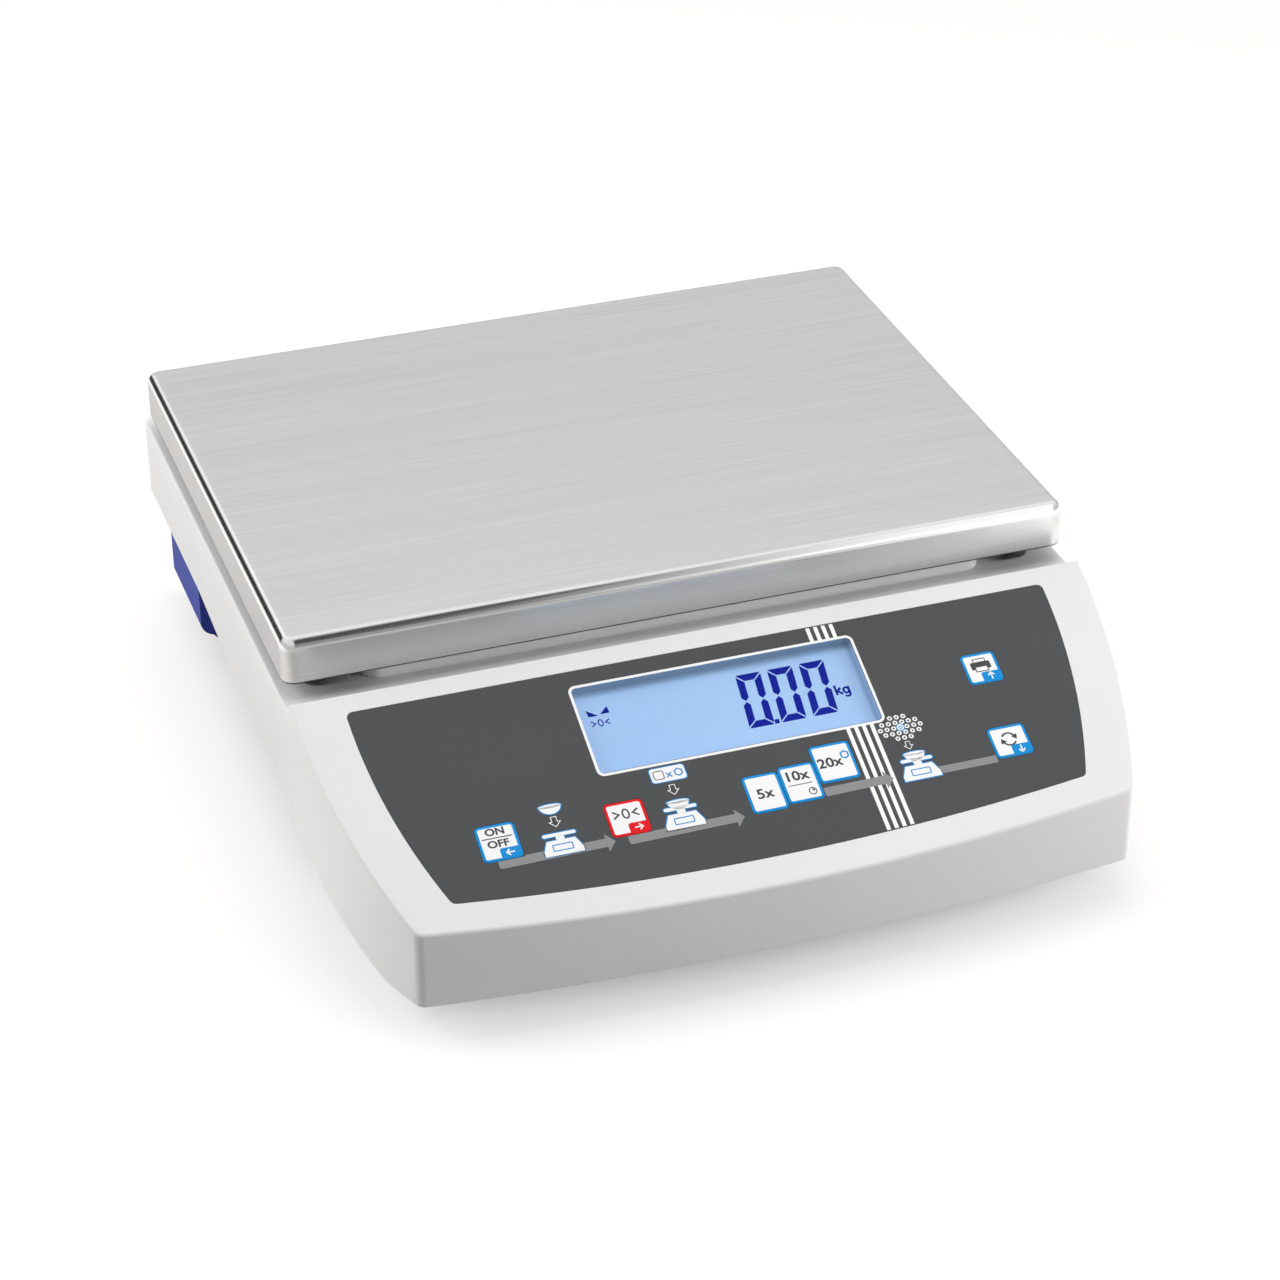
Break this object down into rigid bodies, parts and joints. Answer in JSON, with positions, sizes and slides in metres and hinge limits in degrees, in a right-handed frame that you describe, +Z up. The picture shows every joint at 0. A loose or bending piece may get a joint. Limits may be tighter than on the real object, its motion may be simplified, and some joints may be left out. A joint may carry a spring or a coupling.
{
  "type": "counting scale",
  "caption": "Bench counting scale with a removable stainless weighing plate on a load cell and a sloping front panel with a backlit display and keys.",
  "frame": {"origin": "middle of the footprint, on the bench", "axes": "+X right, +Y to the back, +Z up; the display faces -Y"},
  "size_m": [0.3424, 0.385, 0.12],
  "materials": {
    "plate_steel": "brushed from side to side",
    "cast_aluminium": "as cast",
    "cell_aluminium": "milled",
    "rubber_black": "matte",
    "shell_plastic": "fine satin",
    "tray_plastic": "fine grain",
    "film_grey": "smooth film",
    "key_white": "smooth film",
    "circuit_film": "smooth film",
    "window_clear": "clear",
    "lcd_panel": "satin",
    "backlight": "lit from behind",
    "black_plastic": "satin",
    "board_green": "solder mask",
    "zinc_steel": "zinc plated",
    "black_steel": "black oxide",
    "brass": "machined",
    "cable_grey": "satin",
    "cable_red": "satin",
    "battery_case": "satin",
    "vial_green": "clear"
  },
  "bodies": {
    "housing": {"top_housing": "shell_plastic", "base_tray": "tray_plastic", "housing_screws": "zinc_steel", "keypad_overlay": "film_grey", "display_window": "window_clear", "keypad_circuit": "circuit_film", "key_domes": "zinc_steel", "lcd_glass": "lcd_panel", "lcd_backlight": "backlight", "lcd_frame": "black_plastic", "display_board": "board_green", "display_board_screws": "zinc_steel", "base_plate": "zinc_steel", "base_plate_screws": "zinc_steel", "load_cell": "cell_aluminium", "load_cell_spacer": "cell_aluminium", "load_cell_bolts": "black_steel", "overload_stop": "black_steel", "load_cell_cable": "cable_grey", "display_cable": "cable_grey", "main_board": "board_green", "main_board_screws": "zinc_steel", "power_jack": "black_plastic", "data_port": "zinc_steel", "data_port_posts": "zinc_steel", "battery": "battery_case", "battery_strap": "zinc_steel", "strap_screws": "zinc_steel", "battery_cable": "cable_red", "level_cup": "black_plastic", "level_vial": "vial_green", "foot_inserts": "brass"},
    "carrier": {"pan_carrier": "cast_aluminium", "pan_buffers": "rubber_black", "carrier_spacer": "cell_aluminium", "carrier_bolts": "black_steel"},
    "pan": {"weighing_plate": "plate_steel"},
    "battery_door": {"battery_cover": "tray_plastic"},
    "key_on_off": {"key_on_off": "key_white"},
    "key_tare": {"key_tare": "key_white"},
    "key_count_5": {"key_count_5": "key_white"},
    "key_count_10": {"key_count_10": "key_white"},
    "key_count_20": {"key_count_20": "key_white"},
    "key_print": {"key_print": "key_white"},
    "key_unit": {"key_unit": "key_white"},
    "foot_front_left": {"foot_front_left_stud": "zinc_steel", "foot_front_left_pad": "rubber_black"},
    "foot_front_right": {"foot_front_right_stud": "zinc_steel", "foot_front_right_pad": "rubber_black"},
    "foot_rear_left": {"foot_rear_left_stud": "zinc_steel", "foot_rear_left_pad": "rubber_black"},
    "foot_rear_right": {"foot_rear_right_stud": "zinc_steel", "foot_rear_right_pad": "rubber_black"}
  },
  "joints": [
    {"name": "carrier_sink", "type": "slide", "parent": "housing", "child": "carrier", "axis": [0, 0, -1], "range_m": [0, 0.0005], "stiffness_N_per_m": 300000, "springref_m": -0.00005, "deforming": ["load_cell"]},
    {"name": "plate_lift", "type": "slide", "parent": "carrier", "child": "pan", "axis": [0, 0, 1], "range_m": [0, 0.08]},
    {"name": "battery_door_slide", "type": "slide", "parent": "housing", "child": "battery_door", "axis": [0, -1, 0], "range_m": [0, 0.105]},
    {"name": "key_on_off_press", "type": "slide", "parent": "housing", "child": "key_on_off", "axis": [0, 0.4099, -0.9121], "range_m": [0, 0.0003], "stiffness_N_per_m": 4000, "springref_m": -0.00005},
    {"name": "key_tare_press", "type": "slide", "parent": "housing", "child": "key_tare", "axis": [0, 0.4099, -0.9121], "range_m": [0, 0.0003], "stiffness_N_per_m": 4000, "springref_m": -0.00005},
    {"name": "key_count_5_press", "type": "slide", "parent": "housing", "child": "key_count_5", "axis": [0, 0.4099, -0.9121], "range_m": [0, 0.0003], "stiffness_N_per_m": 4000, "springref_m": -0.00005},
    {"name": "key_count_10_press", "type": "slide", "parent": "housing", "child": "key_count_10", "axis": [0, 0.4099, -0.9121], "range_m": [0, 0.0003], "stiffness_N_per_m": 4000, "springref_m": -0.00005},
    {"name": "key_count_20_press", "type": "slide", "parent": "housing", "child": "key_count_20", "axis": [0, 0.4099, -0.9121], "range_m": [0, 0.0003], "stiffness_N_per_m": 4000, "springref_m": -0.00005},
    {"name": "key_print_press", "type": "slide", "parent": "housing", "child": "key_print", "axis": [0, 0.4099, -0.9121], "range_m": [0, 0.0003], "stiffness_N_per_m": 4000, "springref_m": -0.00005},
    {"name": "key_unit_press", "type": "slide", "parent": "housing", "child": "key_unit", "axis": [0, 0.4099, -0.9121], "range_m": [0, 0.0003], "stiffness_N_per_m": 4000, "springref_m": -0.00005},
    {"name": "foot_front_left_level", "type": "slide", "parent": "housing", "child": "foot_front_left", "axis": [0, 0, -1], "range_m": [-0.004, 0.006]},
    {"name": "foot_front_right_level", "type": "slide", "parent": "housing", "child": "foot_front_right", "axis": [0, 0, -1], "range_m": [-0.004, 0.006]},
    {"name": "foot_rear_left_level", "type": "slide", "parent": "housing", "child": "foot_rear_left", "axis": [0, 0, -1], "range_m": [-0.004, 0.006]},
    {"name": "foot_rear_right_level", "type": "slide", "parent": "housing", "child": "foot_rear_right", "axis": [0, 0, -1], "range_m": [-0.004, 0.006]}
  ]
}
